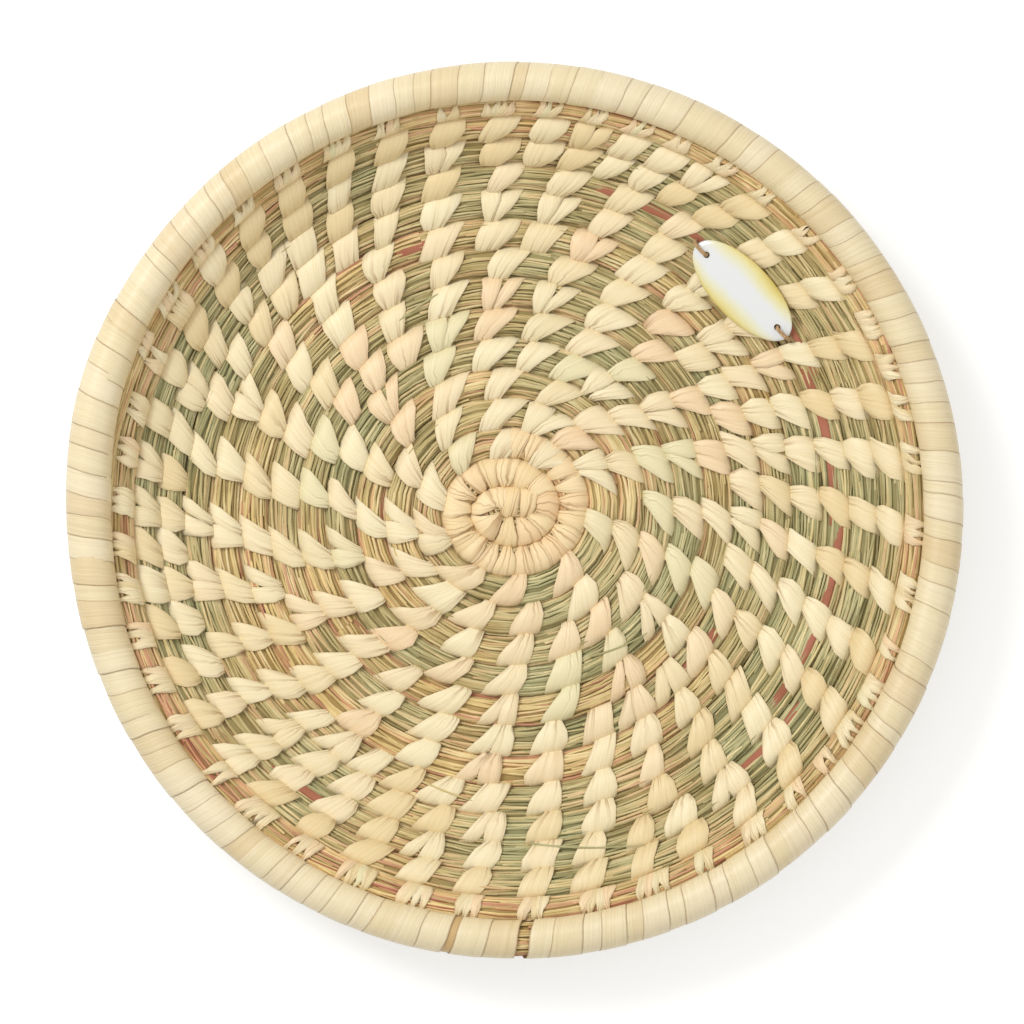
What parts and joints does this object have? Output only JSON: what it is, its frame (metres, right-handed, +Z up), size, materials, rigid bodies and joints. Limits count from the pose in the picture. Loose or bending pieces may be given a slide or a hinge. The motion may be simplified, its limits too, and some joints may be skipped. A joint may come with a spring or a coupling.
{
  "type": "coiled wall plate",
  "caption": "Shallow round plate of coiled grass sewn with palm leaf, with a leaf-bound rim and a small bare oval tag tied inside; rests flat or hangs on a wall.",
  "frame": {"origin": "under the middle of the plate, on the plane that its flat base rests on", "axes": "+Z up out of the bowl's mouth; +Y towards the top of the plate as it hangs in the picture; +X to the right"},
  "size_m": [0.2976, 0.298, 0.0388],
  "materials": {
    "grass": "matte",
    "palm_leaf": "satin",
    "rim_leaf": "satin",
    "glazed_tag": "gloss",
    "twine": "matte"
  },
  "bodies": {
    "root": {"centre_wrap_01": "palm_leaf", "centre_wrap_02": "palm_leaf", "grass_coil": "grass", "leaf_stitching_01": "palm_leaf", "leaf_stitching_02": "palm_leaf", "leaf_stitching_03": "palm_leaf", "leaf_stitching_04": "palm_leaf", "leaf_stitching_05": "palm_leaf", "leaf_stitching_06": "palm_leaf", "leaf_stitching_07": "palm_leaf", "leaf_stitching_08": "palm_leaf", "leaf_stitching_09": "palm_leaf", "leaf_stitching_10": "palm_leaf", "leaf_stitching_11": "palm_leaf", "leaf_stitching_12": "palm_leaf", "leaf_stitching_13": "palm_leaf", "leaf_stitching_14": "palm_leaf", "leaf_stitching_15": "palm_leaf", "leaf_stitching_16": "palm_leaf", "leaf_stitching_17": "palm_leaf", "leaf_stitching_18": "palm_leaf", "leaf_stitching_19": "palm_leaf", "leaf_stitching_20": "palm_leaf", "leaf_stitching_21": "palm_leaf", "leaf_stitching_22": "palm_leaf", "leaf_stitching_23": "palm_leaf", "leaf_stitching_24": "palm_leaf", "leaf_stitching_25": "palm_leaf", "leaf_stitching_26": "palm_leaf", "leaf_stitching_27": "palm_leaf", "leaf_stitching_28": "palm_leaf", "leaf_stitching_29": "palm_leaf", "leaf_stitching_30": "palm_leaf", "leaf_stitching_31": "palm_leaf", "leaf_stitching_32": "palm_leaf", "leaf_stitching_33": "palm_leaf", "oval_tag": "glazed_tag", "rim_binding_01": "rim_leaf", "rim_binding_02": "rim_leaf", "rim_binding_03": "rim_leaf", "rim_binding_04": "rim_leaf", "rim_binding_05": "rim_leaf", "rim_binding_06": "rim_leaf", "rim_binding_07": "rim_leaf", "rim_binding_08": "rim_leaf", "rim_binding_09": "rim_leaf", "rim_core": "grass", "tag_tie_left": "twine", "tag_tie_right": "twine"}
  },
  "joints": []
}
